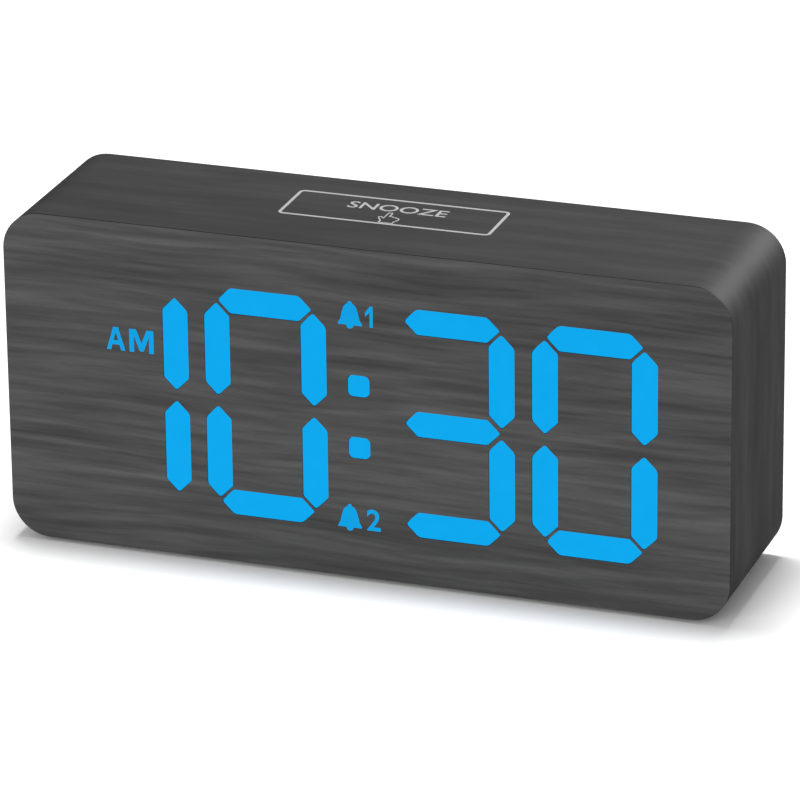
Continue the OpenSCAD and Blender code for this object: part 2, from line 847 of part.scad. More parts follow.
module board_screws() {
    head_y = board_front_y - board_screw_head_t;
    color([0.75, 0.75, 0.77])
    for (p = boss_places)
        difference() {
            union() {
                rod(p[0], p[1], head_y, board_front_y, board_screw_head_r);
                rod(p[0], p[1], board_front_y, board_y + board_screw_bite, board_screw_r);
            }
            cross_recess(p[0], p[1], head_y + cross_d, cross_d);
        }
}

module control_chip() {
    leg_pitch = chip_l / chip_legs;
    color([0.12, 0.12, 0.12]) {
        slab(board_front_y - chip_t, board_front_y - chip_leg_t)
            translate([chip_x, board_z]) square([chip_l, chip_w], center = true);
        slab(board_front_y - 2 * chip_leg_t, board_front_y)
            for (i = [0:chip_legs - 1])
                translate([chip_x + (i - (chip_legs - 1) / 2) * leg_pitch, board_z])
                    square([leg_pitch / 2, chip_w + 2 * chip_leg], center = true);
    }
}

module switch_bodies() {
    color([0.15, 0.15, 0.15])
    for (i = [0:len(key_names) - 1])
        difference() {
            slab(board_y, switch_y) translate([key_x(i), board_z]) square(switch_side, center = true);
            rod(key_x(i), board_z, switch_y - plunger_in - key_travel - plunger_spare, switch_y + over,
                plunger_r + shaft_fit);
        }
}

// Cap with a dished top and a flange that keeps it behind the cover
module button(i) {
    tall = flange_t + flange_fit + cover_t + key_out;
    dish_r = key_r - cap_rim;
    color([0.16, 0.16, 0.16])
    turned(key_x(i), board_z, flange_y - flange_t)
        difference() {
            union() {
                square([key_r + flange_lap, flange_t]);
                square([key_r, tall - cap_edge_r]);
                square([key_r - cap_edge_r, tall]);
                translate([key_r - cap_edge_r, tall - cap_edge_r]) intersection() {
                    circle(cap_edge_r);
                    square(cap_edge_r);
                }
            }
            polygon([[0, tall + over], [0, tall - cap_dish], [dish_r, tall], [dish_r, tall + over]]);
        }
}

module plunger(i) {
    color([0.9, 0.88, 0.82])
    rod(key_x(i), board_z, switch_y - plunger_in, flange_y - flange_t, plunger_r);
}

// Outline of the shaft, flat on one side
module shaft_outline() {
    difference() {
        circle(shaft_r);
        translate([-shaft_r, shaft_r - shaft_flat]) square([2 * shaft_r, shaft_r]);
    }
}

module dimmer_knob() {
    color([0.12, 0.12, 0.12])
    difference() {
        turned(knob_x, knob_z, knob_y)
            polygon([[0, 0], [knob_r, 0], [knob_r, knob_end_y - knob_y - cap_edge_r],
                     [knob_r - cap_edge_r, knob_end_y - knob_y], [0, knob_end_y - knob_y]]);
        slab(knob_y - over, shaft_end_y) translate([knob_x, knob_z]) shaft_outline();
        slab(cover_y, knob_end_y + over) translate([knob_x, knob_z])
            for (k = [1:knob_grooves - 1])
                rotate(90 + 360 * k / knob_grooves) translate([knob_r + groove_r / 2, 0]) circle(groove_r);
        slab(knob_end_y - pointer_d, knob_end_y + over)
            translate([knob_x - pointer_w / 2, knob_z + pointer_start]) square([pointer_w, knob_r]);
    }
}

module pot_shaft() {
    color([0.8, 0.8, 0.78]) {
        slab(pot_y, shaft_end_y) translate([knob_x, knob_z]) shaft_outline();
        rod(knob_x, knob_z, pot_y - shaft_in, pot_y, shaft_r);
    }
}

module pot_body() {
    color([0.2, 0.25, 0.5])
    difference() {
        slab(board_y, pot_y) translate([knob_x, knob_z]) square(pot_side, center = true);
        rod(knob_x, knob_z, pot_y - shaft_in - shaft_fit, pot_y + over, shaft_r + shaft_fit);
    }
}

// Power socket held through the cover by its nut

module dc_socket() {
    color([0.08, 0.08, 0.08])
    difference() {
        union() {
            rod(socket_x, socket_z, cover_y, socket_mouth_y, flange_out_r);
            rod(socket_x, socket_z, cover_y - socket_body_l, cover_y, socket_body_r);
        }
        rod(socket_x, socket_z, socket_mouth_y - socket_depth, socket_mouth_y + over, socket_r);
    }
}

module socket_pin() {
    reach = socket_depth - socket_pin_back;
    color([0.8, 0.8, 0.78])
    turned(socket_x, socket_z, socket_mouth_y - socket_depth)
        polygon([[0, 0], [socket_pin_foot_r, 0], [socket_pin_foot_r, socket_pin_foot],
                 [socket_pin_r, socket_pin_foot], [socket_pin_r, reach - socket_pin_tip],
                 [socket_pin_r - socket_pin_tip, reach], [0, reach]]);
}

module socket_nut() {
    color([0.8, 0.8, 0.78])
    difference() {
        slab(seat_y - nut_t, seat_y)
            translate([socket_x, socket_z]) circle(r = nut_side / sqrt(3), $fn = 6);
        rod(socket_x, socket_z, seat_y - nut_t - over, seat_y + over, socket_body_r + screw_fit);
    }
}

// Loudspeaker, its cone towards the grille

module speaker_basket() {
    color([0.3, 0.3, 0.32])
    turned(speaker_x, speaker_z, seat_y - speaker_basket_h)
        polygon([[magnet_r, 0], [magnet_r + speaker_lip_t, 0],
                 [cone_seat_r, speaker_basket_h - speaker_lip_t],
                 [speaker_r, speaker_basket_h - speaker_lip_t], [speaker_r, speaker_basket_h],
                 [cone_seat_r, speaker_basket_h], [cone_seat_r, speaker_basket_h - cone_t],
                 [cone_seat_r - cone_seat_w, speaker_basket_h - cone_t], [magnet_r, speaker_lip_t]]);
}

module speaker_cone() {
    color([0.18, 0.18, 0.18])
    turned(speaker_x, speaker_z, seat_y - cone_depth - cone_t)
        polygon([[0, 0], [magnet_r, 0], [cone_seat_r - cone_seat_w, cone_depth],
                 [cone_seat_r - cone_fit, cone_depth], [cone_seat_r - cone_fit, cone_depth + cone_t],
                 [cone_seat_r - cone_seat_w, cone_depth + cone_t], [magnet_r, cone_t], [0, cone_t]]);
}

module speaker_magnet() {
    color([0.6, 0.6, 0.62])
    rod(speaker_x, speaker_z, seat_y - speaker_basket_h - magnet_h, seat_y - speaker_basket_h,
        magnet_r + speaker_lip_t);
}

// Leads

function bent_path(points, r) = [
    for (i = [0:len(points) - 1])
        each i == 0 || i == len(points) - 1 ? [points[i]] :
            rounded_corner(points[i - 1], points[i], points[i + 1], r)
];

// One wire at a fixed x: forward from its terminal, up, and back into the board's front face
module lead(x, y, z, out, end_z) {
    path = bent_path([[x, y, z], [x, y - out, z], [x, y - out, end_z], [x, board_front_y, end_z]], lead_bend);
    translate([0, 0, mid_z]) wire_tube(path, [for (p = path) [1, 0, 0]], lead_r);
}

module socket_leads() {
    color([0.75, 0.15, 0.12])
    for (s = [-1, 1])
        lead(socket_x + s * lead_step / 2, cover_y - socket_body_l, socket_z, lead_out, lead_end_z);
}

module speaker_leads() {
    color([0.2, 0.2, 0.2])
    for (s = [-1, 1])
        lead(speaker_x + s * lead_step / 2, seat_y - speaker_basket_h - magnet_h,
            speaker_z + speaker_lead_rise, lead_out, lead_end_z);
}

module battery_leads() {
    color([0.75, 0.15, 0.12])
    for (i = [0, 1])
        lead(bay_x + bay_l / 2 - plate_t / 2, tail_y, cell_z(1 - 2 * i), cell_lead_out[i],
            lead_end_z + cell_lead_rise[i]);
}

// Touch pad under the top wall and the leaf that joins it to the main board

module touch_pad() {
    color([0.8, 0.5, 0.3])
    translate([-pad_w / 2, pad_y - pad_d / 2, mid_z + room_h / 2 - pad_t]) cube([pad_w, pad_d, pad_t]);
}

module touch_leaf() {
    y = board_front_y;
    edge_z = board_top;
    pad_z = room_h / 2 - pad_t;
    color([0.85, 0.7, 0.4])
    translate([-leaf_w / 2, 0, mid_z]) rotate([90, 0, 90]) linear_extrude(leaf_w)
        polygon([[y, edge_z - leaf_foot], [y, edge_z],
                 [y - leaf_reach, pad_z], [y - leaf_reach - leaf_t, pad_z],
                 [y - leaf_t, edge_z - leaf_t], [y - leaf_t, edge_z - leaf_foot]]);
}

// Flat ribbon that hangs in a loop between the headers on the two boards

module ribbon_cable() {
    mid_y = (header_y[0] + header_y[1]) / 2;
    loop_r = (header_y[1] - header_y[0]) / 2;
    top_z = header_z - header_h / 2;
    color([0.75, 0.75, 0.75])
    translate([ribbon_x - ribbon_w / 2, 0, mid_z]) rotate([90, 0, 90]) linear_extrude(ribbon_w) {
        for (y = header_y)
            translate([y - ribbon_t / 2, top_z - ribbon_drop]) square([ribbon_t, ribbon_drop]);
        translate([mid_y, top_z - ribbon_drop]) difference() {
            circle(loop_r + ribbon_t / 2);
            circle(loop_r - ribbon_t / 2);
            translate([-loop_r - over, 0]) square([2 * (loop_r + over), loop_r + over]);
        }
    }
}

module ribbon_headers() {
    color([0.95, 0.95, 0.92])
    for (y = header_y)
        translate([ribbon_x - header_w / 2, y - header_d / 2, mid_z + header_z - header_h / 2])
            cube([header_w, header_d, header_h]);
}

case_sleeve();
wrap_film();
front_film();
front_board();
corner_posts();
rubber_feet();
lit_lenses();
dark_lenses();
reflector_block();
display_board();
display_leds();
display_screws();
back_cover();
cover_screws();
battery_door();
backup_cells();
battery_springs();
battery_plates();
main_board();
board_screws();
control_chip();
switch_bodies();
for (i = [0:len(key_names) - 1]) {
    button(i);
    plunger(i);
}
dimmer_knob();
pot_shaft();
pot_body();
dc_socket();
socket_pin();
socket_nut();
speaker_basket();
speaker_cone();
speaker_magnet();
socket_leads();
speaker_leads();
battery_leads();
touch_pad();
touch_leaf();
ribbon_cable();
ribbon_headers();
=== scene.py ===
# Wood-look digital alarm clock: finishes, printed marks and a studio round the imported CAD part
import math

import bpy
from mathutils import Matrix, Vector


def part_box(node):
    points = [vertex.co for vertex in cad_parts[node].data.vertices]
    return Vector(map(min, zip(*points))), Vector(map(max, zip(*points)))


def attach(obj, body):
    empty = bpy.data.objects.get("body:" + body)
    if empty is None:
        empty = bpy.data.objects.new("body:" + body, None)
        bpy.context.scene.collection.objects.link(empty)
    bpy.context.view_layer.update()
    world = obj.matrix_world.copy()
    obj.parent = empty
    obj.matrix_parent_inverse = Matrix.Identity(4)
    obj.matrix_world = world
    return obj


mm = 0.001  # finishes and prints are given in millimetres, Blender works in metres
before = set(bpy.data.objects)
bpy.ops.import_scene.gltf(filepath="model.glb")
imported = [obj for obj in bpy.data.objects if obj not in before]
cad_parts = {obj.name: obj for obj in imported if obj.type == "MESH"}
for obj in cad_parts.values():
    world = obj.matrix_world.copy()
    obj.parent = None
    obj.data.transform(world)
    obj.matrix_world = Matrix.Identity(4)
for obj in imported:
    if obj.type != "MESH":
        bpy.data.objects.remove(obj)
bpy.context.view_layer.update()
print("frame loaded:", len(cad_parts), "CAD nodes")

# Planes that the prints lie on, taken from the CAD
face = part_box("front_film")
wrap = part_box("wrap_film")
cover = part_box("back_cover")
midZ = (wrap[0].z + wrap[1].z) / 2


def planeMatrix(origin, right, up):
    right, up = Vector(right), Vector(up)
    columns = (right, up, right.cross(up))
    return Matrix.Translation(origin) @ Matrix(columns).transposed().to_4x4()


facePlane = planeMatrix((0, face[0].y, midZ), (1, 0, 0), (0, 0, 1))
topPlane = planeMatrix((0, 0, wrap[1].z), (1, 0, 0), (0, 1, 0))
backPlane = planeMatrix((0, cover[1].y, midZ), (-1, 0, 0), (0, 0, 1))


def linearColour(hexText):
    # the sRGB curve, undone
    channels = [int(hexText[i:i + 2], 16) / 255 for i in (1, 3, 5)]
    return [c / 12.92 if c <= 0.04045 else ((c + 0.055) / 1.055) ** 2.4 for c in channels] + [1]


def addNode(tree, kind, settings=None, links=None):
    # a setting is a property or an input of the node; a link joins an input to another node's output
    node = tree.nodes.new("ShaderNode" + kind)
    for key, value in (settings or {}).items():
        if isinstance(key, str) and hasattr(node, key):
            setattr(node, key, value)
        else:
            node.inputs[key].default_value = value
    for key, output in (links or {}).items():
        tree.links.new(output, node.inputs[key])
    return node


def newFinish(name):
    finish = bpy.data.materials.new(name)
    finish.use_nodes = True
    finish.node_tree.nodes.clear()
    return finish, finish.node_tree


def stretched(alongMm, acrossMm, acrossAxis):
    # pattern scale for streaks that are long in every direction but one
    return [1 / (acrossMm * mm) if axis == acrossAxis else 1 / (alongMm * mm) for axis in "xyz"]


# Finishes

# Vinyl film, printed with a charcoal ash grain and embossed along it: matte, soft streaks, fine dark pores
woodFilms = {
    "wood-grain film, face": {
        "across": "z", "widen": 1,
        "dark": "#3a3a3a", "middle": "#474747", "light": "#565656", "pore": "#323232",
    },
    "wood-grain film, wrap": {
        "across": "y", "widen": 2.3,  # its streaks and pores are broader and quieter than the face's
        # painted shade: the same film as the face, given darker tones to offset the stronger light that falls
        # on the wrap
        "dark": "#272727", "middle": "#2b2b2b", "light": "#313131", "pore": "#242424",
    },
}
woodGrain = {
    "band": {"width": 9, "length": 110, "detail": 1},
    "streak": {"width": 1.6, "length": 28, "detail": 4},
    "pore": {"width": 0.4, "length": 7, "detail": 2},  # real pores are near 0.1 mm wide, coarser here to show
    "wave": {"width": 24, "length": 60, "height": 4.5},  # slow bends of all three
    "streakShare": 0.7, "noiseRoughness": 0.6,
    "darkAt": 0.34, "middleAt": 0.5, "lightAt": 0.68,
    "poreFrom": 0.60, "poreFull": 0.74, "poreDepth": 0.4,
    "emboss": 0.03, "embossStrength": 0.5,
    "roughness": 0.62, "roughnessSpread": 0.06, "specular": 0.02, "ior": 1.45,
    # the face film's cut edge, where its surface turns away from the front
    "cutEdge": "#151515", "cutFrom": 0.7, "cutFull": 0.4,
    # painted shade: the print is made darker on the two ends, standing in for the shade on the sides; its
    # bands also stand out more there
    "paintedShadeLight": 0.81, "paintedShadeDark": 0.46, "endFrom": 0.35, "endTo": 0.65, "paintedShadeStart": 69, "paintedShadeFull": 75,
}


def makeWoodFilm(name):
    look = woodFilms[name]
    across = look["across"]
    finish, tree = newFinish(name)
    place = addNode(tree, "TexCoord")
    wave = woodGrain["wave"]
    wavePlace = addNode(tree, "Mapping", {"Scale": stretched(wave["length"], wave["width"], across)}, {
        "Vector": place.outputs["Object"],
    })
    bends = addNode(tree, "TexNoise", {"Scale": 1, "Detail": 1}, {"Vector": wavePlace.outputs[0]})
    lift = [wave["height"] * mm if axis == across else 0 for axis in "xyz"]
    waved = addNode(tree, "VectorMath", {"operation": "MULTIPLY_ADD", 1: lift}, {
        0: bends.outputs["Color"], 2: place.outputs["Object"],
    })
    layers = {}
    for layer in ("band", "streak", "pore"):
        size = woodGrain[layer]
        width = size["width"] * (1 if layer == "band" else look["widen"])
        scaled = addNode(tree, "Mapping", {"Scale": stretched(size["length"], width, across)}, {
            "Vector": waved.outputs[0],
        })
        layers[layer] = addNode(tree, "TexNoise", {
            "Scale": 1, "Detail": size["detail"], "Roughness": woodGrain["noiseRoughness"],
        }, {"Vector": scaled.outputs[0]})
    grain = addNode(tree, "Mix", {0: woodGrain["streakShare"]}, {
        2: layers["band"].outputs[0], 3: layers["streak"].outputs[0],
    })
    tone = addNode(tree, "ValToRGB", {}, {0: grain.outputs[0]})
    stops = tone.color_ramp.elements
    stops[0].position, stops[0].color = woodGrain["darkAt"], linearColour(look["dark"])
    stops[1].position, stops[1].color = woodGrain["lightAt"], linearColour(look["light"])
    stops.new(woodGrain["middleAt"]).color = linearColour(look["middle"])
    poreMask = addNode(tree, "MapRange", {
        "From Min": woodGrain["poreFrom"], "From Max": woodGrain["poreFull"],
        "To Max": woodGrain["poreDepth"],
    }, {"Value": layers["pore"].outputs[0]})
    pored = addNode(tree, "Mix", {"data_type": "RGBA", 7: linearColour(look["pore"])}, {
        0: poreMask.outputs[0], 6: tone.outputs[0],
    })
    if across == "z":
        # on the face, the cut edge of the film shows as a thin dark line where it meets the wrap
        sides = addNode(tree, "SeparateXYZ", {}, {0: place.outputs["Normal"]})
        facing = addNode(tree, "Math", {"operation": "ABSOLUTE"}, {0: sides.outputs["Y"]})
        edge = addNode(tree, "MapRange", {
            "From Min": woodGrain["cutFrom"], "From Max": woodGrain["cutFull"],
        }, {"Value": facing.outputs[0]})
        trimmed = addNode(tree, "Mix", {"data_type": "RGBA", 7: linearColour(woodGrain["cutEdge"])}, {
            0: edge.outputs[0], 6: pored.outputs[2],
        })
        colour = trimmed.outputs[2]
    else:
        # on the wrap, both ends are darkened as painted shade
        spot = addNode(tree, "SeparateXYZ", {}, {0: place.outputs["Object"]})
        outward = addNode(tree, "Math", {"operation": "ABSOLUTE"}, {0: spot.outputs["X"]})
        paintedEndShade = addNode(tree, "MapRange", {
            "From Min": woodGrain["endFrom"], "From Max": woodGrain["endTo"],
            "To Min": woodGrain["paintedShadeDark"], "To Max": woodGrain["paintedShadeLight"],
        }, {"Value": grain.outputs[0]})
        shade = addNode(tree, "MapRange", {
            "From Min": woodGrain["paintedShadeStart"] * mm, "From Max": woodGrain["paintedShadeFull"] * mm, "To Min": 1,
        }, {"Value": outward.outputs[0], "To Max": paintedEndShade.outputs[0]})
        shaded = addNode(tree, "VectorMath", {"operation": "SCALE"}, {
            0: pored.outputs[2], 3: shade.outputs[0],
        })
        colour = shaded.outputs[0]
    height = addNode(tree, "Math", {"operation": "SUBTRACT"}, {
        0: grain.outputs[0], 1: poreMask.outputs[0],
    })
    bump = addNode(tree, "Bump", {
        "Strength": woodGrain["embossStrength"], "Distance": woodGrain["emboss"] * mm,
    }, {"Height": height.outputs[0]})
    gloss = addNode(tree, "MapRange", {
        "To Min": woodGrain["roughness"] - woodGrain["roughnessSpread"],
        "To Max": woodGrain["roughness"] + woodGrain["roughnessSpread"],
    }, {"Value": layers["streak"].outputs[0]})
    shader = addNode(tree, "BsdfPrincipled", {
        "IOR": woodGrain["ior"], "Specular IOR Level": woodGrain["specular"],
    }, {"Base Color": colour, "Roughness": gloss.outputs[0], "Normal": bump.outputs[0]})
    addNode(tree, "OutputMaterial", {}, {"Surface": shader.outputs[0]})
    return finish


# Opal acrylic with blue light behind it: an even, bright blue with no hot spots
litLenses = {"opal acrylic, lit blue": "#06a8ee", "opal acrylic, lit mark": "#0aa0e4"}
litGlow = {
    "strength": 1.0, "cloud": 3.0, "cloudSpread": 0.03,
    "body": "#000609", "roughness": 0.5, "ior": 1.49, "specular": 0.03,  # room light hardly shows on the blue
}


def makeLitLens(name):
    finish, tree = newFinish(name)
    place = addNode(tree, "TexCoord")
    scaled = addNode(tree, "Mapping", {"Scale": [1 / (litGlow["cloud"] * mm)] * 3}, {
        "Vector": place.outputs["Object"],
    })
    cloud = addNode(tree, "TexNoise", {"Scale": 1, "Detail": 1}, {"Vector": scaled.outputs[0]})
    glow = addNode(tree, "MapRange", {
        "To Min": litGlow["strength"] * (1 - litGlow["cloudSpread"]),
        "To Max": litGlow["strength"] * (1 + litGlow["cloudSpread"]),
    }, {"Value": cloud.outputs[0]})
    shader = addNode(tree, "BsdfPrincipled", {
        "Base Color": linearColour(litGlow["body"]), "Roughness": litGlow["roughness"], "IOR": litGlow["ior"],
        "Specular IOR Level": litGlow["specular"], "Emission Color": linearColour(litLenses[name]),
    }, {"Emission Strength": glow.outputs[0]})
    addNode(tree, "OutputMaterial", {}, {"Surface": shader.outputs[0]})
    return finish


# Plastics, rubbers, papers and inks: one colour with a cloudy shift and a fine grit
# real grit is near 0.1 mm or finer, coarser here to show
plainStuffs = {
    # eroded mould: dull all over, with an even bite that breaks the light up
    "spark-textured ABS, black": {
        "tone": "#131314", "shift": "#19191a", "grit": 0.6, "depth": 0.06, "roughness": 0.64,
    },
    # polished mould: smooth, with a clear highlight
    "polished ABS, black": {
        "tone": "#101011", "shift": "#151516", "grit": 0.7, "depth": 0.006, "roughness": 0.34,
    },
    # blasted mould: a soft, wide highlight
    "satin ABS, charcoal": {
        "tone": "#1d1d1f", "shift": "#232326", "grit": 0.5, "depth": 0.01, "roughness": 0.45,
    },
    # plain mould: half gloss, a little waxy
    "moulded nylon, black": {
        "tone": "#131314", "shift": "#19191a", "grit": 0.6, "depth": 0.01, "roughness": 0.45,
    },
    # slippery and waxy, a warm off-white
    "moulded acetal, ivory": {
        "tone": "#ddd8c8", "shift": "#e4e0d2", "grit": 0.6, "depth": 0.01, "roughness": 0.45,
    },
    # a bright flat white that throws the light back
    "moulded polystyrene, white": {
        "tone": "#e6e6e2", "shift": "#efefec", "grit": 0.8, "depth": 0.01, "roughness": 0.5,
    },
    # milky, with a smooth skin
    "opal acrylic, unlit": {
        "tone": "#c9cbc8", "shift": "#d3d5d2", "grit": 1.0, "depth": 0.004, "roughness": 0.35,
    },
    # dull and dusty, with no clear highlight
    "moulded silicone rubber, black": {
        "tone": "#141414", "shift": "#1c1c1c", "grit": 0.7, "depth": 0.03, "roughness": 0.75,
    },
    # fine dry skin, nearly matte
    "moulded epoxy, black": {
        "tone": "#1a1a1b", "shift": "#212122", "grit": 0.3, "depth": 0.01, "roughness": 0.6,
    },
    # pale yellow, from the phosphor in it
    "cast epoxy, phosphor yellow": {
        "tone": "#e9dd9c", "shift": "#f2e9b8", "grit": 0.5, "depth": 0.01, "roughness": 0.4,
    },
    # felted, uneven and quite without gloss
    "pressed paper pulp, black": {
        "tone": "#1b1b1b", "shift": "#262626", "grit": 0.9, "depth": 0.06, "roughness": 0.8,
    },
    # dark grey and dry, like fired clay
    "sintered ferrite": {
        "tone": "#37373a", "shift": "#424246", "grit": 0.4, "depth": 0.02, "roughness": 0.6,
    },
    # soft half gloss, smooth along its length
    "extruded vinyl, red": {
        "tone": "#a3231d", "shift": "#ad2c25", "grit": 1.5, "depth": 0.01, "roughness": 0.45,
    },
    "extruded vinyl, black": {
        "tone": "#1d1d1d", "shift": "#232323", "grit": 1.5, "depth": 0.01, "roughness": 0.45,
    },
    "extruded vinyl, grey": {
        "tone": "#a6a8a8", "shift": "#b4b6b6", "grit": 1.3, "depth": 0.03, "roughness": 0.5,
    },
    # a thin dry layer, flat and even
    "screen ink, light grey": {
        "tone": "#737373", "shift": "#7b7b7b", "grit": 0.3, "depth": 0.004, "roughness": 0.6,
    },
}
plainSkin = {"ior": 1.5, "bump": 0.6}


def makePlain(name):
    look = plainStuffs[name]
    finish, tree = newFinish(name)
    place = addNode(tree, "TexCoord")
    scaled = addNode(tree, "Mapping", {"Scale": [1 / (look["grit"] * mm)] * 3}, {
        "Vector": place.outputs["Object"],
    })
    grit = addNode(tree, "TexNoise", {"Scale": 1, "Detail": 3}, {"Vector": scaled.outputs[0]})
    tone = addNode(tree, "Mix", {
        "data_type": "RGBA", 6: linearColour(look["tone"]), 7: linearColour(look["shift"]),
    }, {0: grit.outputs[0]})
    bump = addNode(tree, "Bump", {"Strength": plainSkin["bump"], "Distance": look["depth"] * mm}, {
        "Height": grit.outputs[0],
    })
    shader = addNode(tree, "BsdfPrincipled", {"Roughness": look["roughness"], "IOR": plainSkin["ior"]}, {
        "Base Color": tone.outputs[2], "Normal": bump.outputs[0],
    })
    addNode(tree, "OutputMaterial", {}, {"Surface": shader.outputs[0]})
    return finish


# Metals: drawn, rolled or plated, with faint lines that break the reflection up
# real lines are a few hundredths of a millimetre wide, coarser here to show
metals = {
    "zinc-plated steel": {"tone": "#b9babd", "line": 0.12, "roughness": 0.32},  # pale and half bright
    "black oxide steel": {"tone": "#2e2e31", "line": 0.12, "roughness": 0.42},  # dark, with an oily sheen
    "nickel-plated spring steel": {"tone": "#cbc8bf", "line": 0.15, "roughness": 0.25},  # warm and bright
    "pressed steel": {"tone": "#77787c", "line": 0.3, "roughness": 0.4},  # grey, with broad rolling lines
    "rolled copper": {"tone": "#c98b62", "line": 0.25, "roughness": 0.35},  # reddish, softly lined
    "phosphor bronze": {"tone": "#c7a56a", "line": 0.2, "roughness": 0.33},  # golden and half bright
}
drawnLines = {"length": 4, "roughnessSpread": 0.08}


def makeMetal(name):
    look = metals[name]
    finish, tree = newFinish(name)
    place = addNode(tree, "TexCoord")
    scaled = addNode(tree, "Mapping", {"Scale": stretched(drawnLines["length"], look["line"], "y")}, {
        "Vector": place.outputs["Object"],
    })
    lines = addNode(tree, "TexNoise", {"Scale": 1, "Detail": 2}, {"Vector": scaled.outputs[0]})
    dull = addNode(tree, "MapRange", {
        "To Min": look["roughness"] - drawnLines["roughnessSpread"],
        "To Max": look["roughness"] + drawnLines["roughnessSpread"],
    }, {"Value": lines.outputs[0]})
    shader = addNode(tree, "BsdfPrincipled", {"Base Color": linearColour(look["tone"]), "Metallic": 1}, {
        "Roughness": dull.outputs[0],
    })
    addNode(tree, "OutputMaterial", {}, {"Surface": shader.outputs[0]})
    return finish


# Wood and boards: dull, with fibres that show as streaks
boards = {
    # pale, with long yellow streaks
    "planed pine": {"tone": "#b98f5c", "shift": "#d2ab78", "along": 30, "across": 1.2, "sealed": False},
    # brown felted fibres; the open rear rim is sealed with black paint
    "fibreboard, sealed rim": {
        "tone": "#7d6146", "shift": "#957656", "along": 2.0, "across": 0.8, "sealed": True,
    },
    # dark green lacquer with the weave faintly under it
    "glass-epoxy board, green mask": {
        "tone": "#14502c", "shift": "#1c6337", "along": 9, "across": 1.5, "sealed": False,
    },
}
boardSkin = {"roughness": 0.6, "bump": 0.4, "depth": 0.05}
sealPaint = {"black": "#131313", "depth": 3.0, "fade": 0.3}


def makeBoard(name):
    look = boards[name]
    finish, tree = newFinish(name)
    place = addNode(tree, "TexCoord")
    scaled = addNode(tree, "Mapping", {"Scale": stretched(look["along"], look["across"], "x")}, {
        "Vector": place.outputs["Object"],
    })
    fibre = addNode(tree, "TexNoise", {"Scale": 1, "Detail": 4}, {"Vector": scaled.outputs[0]})
    tone = addNode(tree, "Mix", {
        "data_type": "RGBA", 6: linearColour(look["tone"]), 7: linearColour(look["shift"]),
    }, {0: fibre.outputs[0]})
    colour = tone.outputs[2]
    if look["sealed"]:
        spot = addNode(tree, "SeparateXYZ", {}, {0: place.outputs["Object"]})
        paintY = wrap[1].y - sealPaint["depth"] * mm
        painted = addNode(tree, "MapRange", {
            "From Min": paintY, "From Max": paintY + sealPaint["fade"] * mm,
        }, {"Value": spot.outputs["Y"]})
        sealed = addNode(tree, "Mix", {"data_type": "RGBA", 7: linearColour(sealPaint["black"])}, {
            0: painted.outputs[0], 6: colour,
        })
        colour = sealed.outputs[2]
    bump = addNode(tree, "Bump", {"Strength": boardSkin["bump"], "Distance": boardSkin["depth"] * mm}, {
        "Height": fibre.outputs[0],
    })
    shader = addNode(tree, "BsdfPrincipled", {"Roughness": boardSkin["roughness"]}, {
        "Base Color": colour, "Normal": bump.outputs[0],
    })
    addNode(tree, "OutputMaterial", {}, {"Surface": shader.outputs[0]})
    return finish


# Printed shrink film on the dry cells: glossy grey with a green band at the plus end, and bare nickelled ends
dryCell = {
    "name": "printed shrink film, grey",
    "jacket": "#676c70", "band": "#24573a", "end": "#c9c6bd", "length": 44.5,
    "nub": 1.3, "base": 0.5, "bandWidth": 9, "roughness": 0.3, "ior": 1.5,
    "creaseLength": 6, "creaseWidth": 0.8, "creaseDepth": 0.01, "creaseBump": 0.3,
}


def makeCellJacket():
    finish, tree = newFinish(dryCell["name"])
    low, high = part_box("backup_cells")
    middle, reach = (low + high) / 2, (high.x - low.x) / 2 / mm
    place = addNode(tree, "TexCoord")
    centred = addNode(tree, "VectorMath", {"operation": "SUBTRACT", 1: middle}, {0: place.outputs["Object"]})
    spot = addNode(tree, "SeparateXYZ", {}, {0: centred.outputs[0]})
    way = addNode(tree, "Math", {"operation": "SIGN"}, {0: spot.outputs["Z"]})  # the cells lie head to tail
    along = addNode(tree, "Math", {"operation": "MULTIPLY"}, {0: spot.outputs["X"], 1: way.outputs[0]})
    share = addNode(tree, "MapRange", {"From Min": -reach * mm, "From Max": reach * mm}, {
        "Value": along.outputs[0],
    })
    baseEnd = (2 * reach - dryCell["length"] + dryCell["base"]) / (2 * reach)
    nubStart = 1 - dryCell["nub"] / (2 * reach)
    bandStart = nubStart - dryCell["bandWidth"] / (2 * reach)
    wrapper = addNode(tree, "ValToRGB", {}, {0: share.outputs[0]})
    bareMetal = addNode(tree, "ValToRGB", {}, {0: share.outputs[0]})
    tones = [dryCell[part] for part in ("end", "jacket", "band", "end")]
    bareTones = ["#ffffff", "#000000", "#000000", "#ffffff"]  # white where the metal shows
    for ramp, hexTexts in ((wrapper, tones), (bareMetal, bareTones)):
        ramp.color_ramp.interpolation = "CONSTANT"
        stops = ramp.color_ramp.elements
        while len(stops) < len(hexTexts):
            stops.new(0.5)
        for stop, start, hexText in zip(stops, (0, baseEnd, bandStart, nubStart), hexTexts):
            stop.position = start
            stop.color = linearColour(hexText)
    scaled = addNode(tree, "Mapping", {
        "Scale": stretched(dryCell["creaseLength"], dryCell["creaseWidth"], "x"),
    }, {"Vector": place.outputs["Object"]})
    shrink = addNode(tree, "TexNoise", {"Scale": 1, "Detail": 2}, {"Vector": scaled.outputs[0]})
    bump = addNode(tree, "Bump", {
        "Strength": dryCell["creaseBump"], "Distance": dryCell["creaseDepth"] * mm,
    }, {"Height": shrink.outputs[0]})
    shader = addNode(tree, "BsdfPrincipled", {"Roughness": dryCell["roughness"], "IOR": dryCell["ior"]}, {
        "Base Color": wrapper.outputs[0], "Metallic": bareMetal.outputs[0], "Normal": bump.outputs[0],
    })
    addNode(tree, "OutputMaterial", {}, {"Surface": shader.outputs[0]})
    return finish


